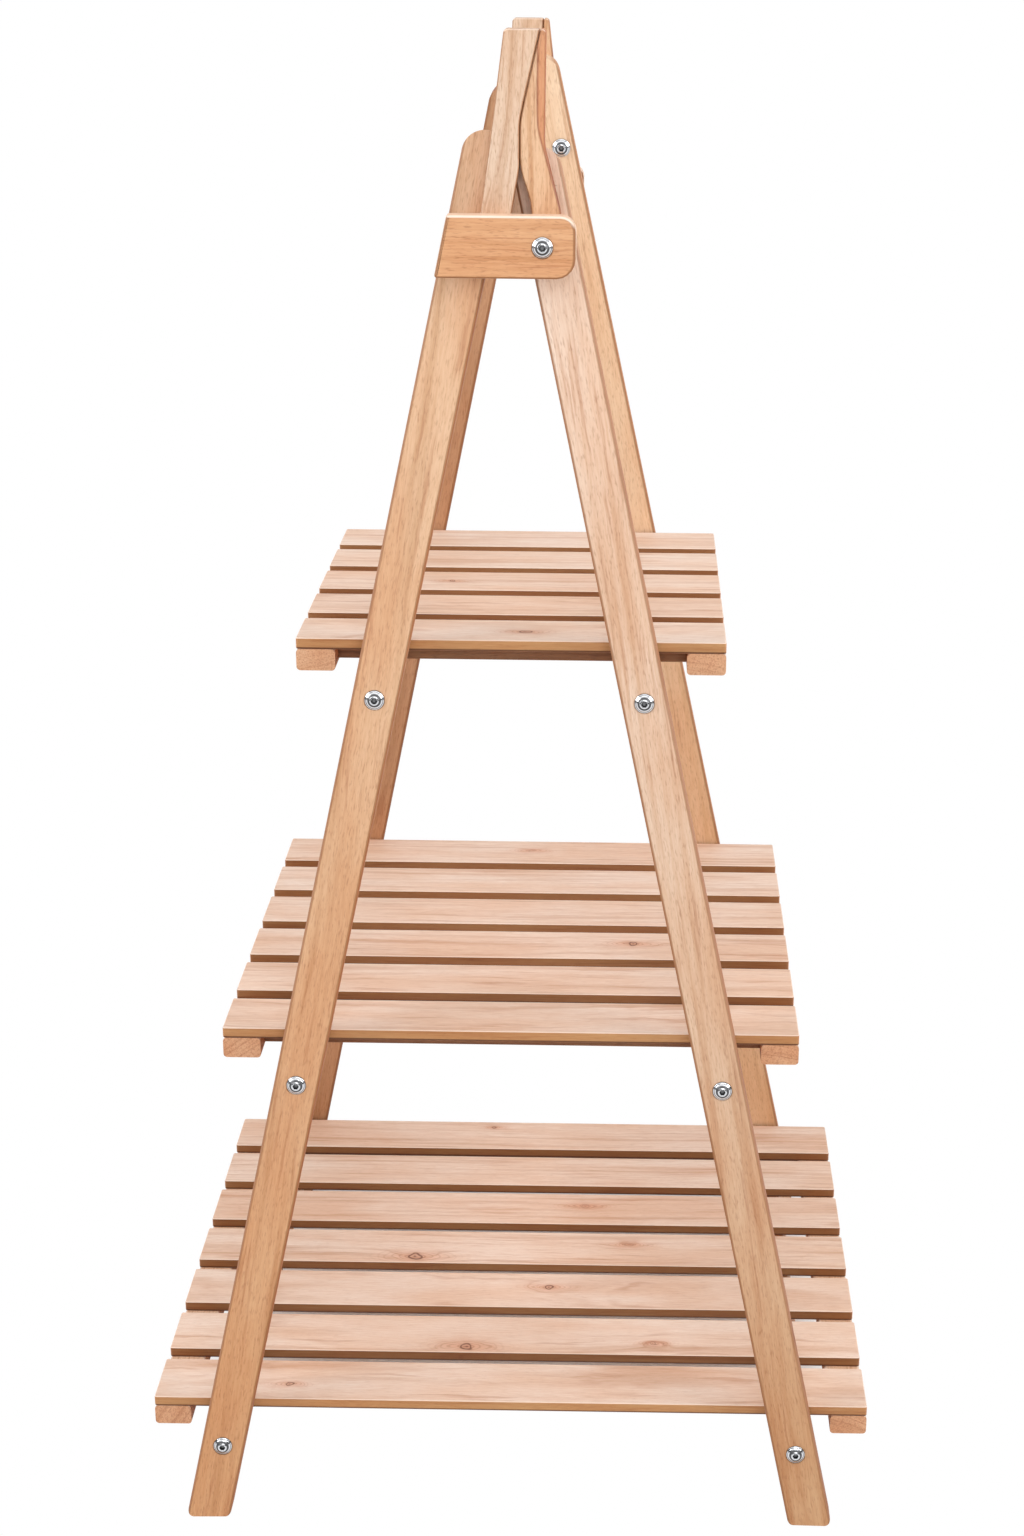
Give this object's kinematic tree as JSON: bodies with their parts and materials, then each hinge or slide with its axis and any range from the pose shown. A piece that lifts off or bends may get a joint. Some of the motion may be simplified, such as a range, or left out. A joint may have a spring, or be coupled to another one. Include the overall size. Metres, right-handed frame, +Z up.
{
  "type": "plant ladder stand",
  "caption": "Folding A-frame ladder stand with three slatted shelves for potted plants; the shelves lift off and the two ladders fold together.",
  "frame": {"origin": "on the floor, in the middle of the stand", "axes": "+Z up; +X to the right as seen from the front; the front is at -Y; the hinge axis lies along Y"},
  "size_m": [0.5904, 0.5486, 1.176],
  "materials": {
    "leg_wood": "eucalyptus boards, planed, long edges rounded, oiled",
    "back_leg_wood": "eucalyptus boards, planed, long edges rounded, oiled",
    "rung_wood": "eucalyptus, planed and oiled",
    "left_arm_wood": "eucalyptus, sawn to shape and sanded",
    "right_arm_wood": "eucalyptus heartwood, sawn to shape and sanded",
    "bracket_wood": "eucalyptus, sawn to shape, edges rounded, oiled",
    "slat_wood": "pale eucalyptus slats, planed, edges rounded",
    "batten_wood": "eucalyptus battens, planed",
    "rail_wood": "eucalyptus rails, planed",
    "dowel_wood": "fluted beech dowels, glued in",
    "bolt_steel": "bright nickel-plated steel, turned domed heads",
    "washer_steel": "zinc-plated steel washers",
    "screw_steel": "zinc-plated countersunk screws",
    "insert_brass": "threaded brass inserts"
  },
  "bodies": {
    "left_ladder": {"front_left_leg": "leg_wood", "back_left_leg": "back_leg_wood", "left_top_rung": "rung_wood", "left_middle_rung": "rung_wood", "left_bottom_rung": "rung_wood", "front_left_arm": "left_arm_wood", "back_left_arm": "left_arm_wood", "front_bracket": "bracket_wood", "back_bracket": "bracket_wood", "left_rung_bolts": "bolt_steel", "left_rung_inserts": "insert_brass", "left_arm_bolts": "bolt_steel", "bracket_dowels": "dowel_wood"},
    "right_ladder": {"front_right_leg": "leg_wood", "back_right_leg": "back_leg_wood", "right_top_rung": "rung_wood", "right_middle_rung": "rung_wood", "right_bottom_rung": "rung_wood", "front_right_arm": "right_arm_wood", "back_right_arm": "right_arm_wood", "right_rung_bolts": "bolt_steel", "right_rung_inserts": "insert_brass", "right_arm_bolts": "bolt_steel", "hinge_bolts": "bolt_steel", "hinge_inserts": "insert_brass", "hinge_washers": "washer_steel"},
    "top_shelf": {"top_slat_1": "slat_wood", "top_slat_2": "slat_wood", "top_slat_3": "slat_wood", "top_slat_4": "slat_wood", "top_slat_5": "slat_wood", "top_left_batten": "batten_wood", "top_right_batten": "batten_wood", "top_front_rail": "rail_wood", "top_back_rail": "rail_wood", "top_screws": "screw_steel"},
    "middle_shelf": {"middle_slat_1": "slat_wood", "middle_slat_2": "slat_wood", "middle_slat_3": "slat_wood", "middle_slat_4": "slat_wood", "middle_slat_5": "slat_wood", "middle_slat_6": "slat_wood", "middle_left_batten": "batten_wood", "middle_right_batten": "batten_wood", "middle_front_rail": "rail_wood", "middle_back_rail": "rail_wood", "middle_screws": "screw_steel"},
    "bottom_shelf": {"bottom_slat_1": "slat_wood", "bottom_slat_2": "slat_wood", "bottom_slat_3": "slat_wood", "bottom_slat_4": "slat_wood", "bottom_slat_5": "slat_wood", "bottom_slat_6": "slat_wood", "bottom_slat_7": "slat_wood", "bottom_left_batten": "batten_wood", "bottom_right_batten": "batten_wood", "bottom_front_rail": "rail_wood", "bottom_back_rail": "rail_wood", "bottom_screws": "screw_steel"}
  },
  "joints": [
    {"name": "ladder_fold", "type": "hinge", "parent": "left_ladder", "child": "right_ladder", "pos_m": [0.02499, 0, 1.028], "axis": [0, 1, 0], "range_deg": [0, 24]},
    {"name": "top_shelf_lift", "type": "slide", "parent": "left_ladder", "child": "top_shelf", "axis": [0, 0, 1], "range_m": [0, 0.015]},
    {"name": "middle_shelf_lift", "type": "slide", "parent": "left_ladder", "child": "middle_shelf", "axis": [0, 0, 1], "range_m": [0, 0.015]},
    {"name": "bottom_shelf_lift", "type": "slide", "parent": "left_ladder", "child": "bottom_shelf", "axis": [0, 0, 1], "range_m": [0, 0.015]}
  ]
}
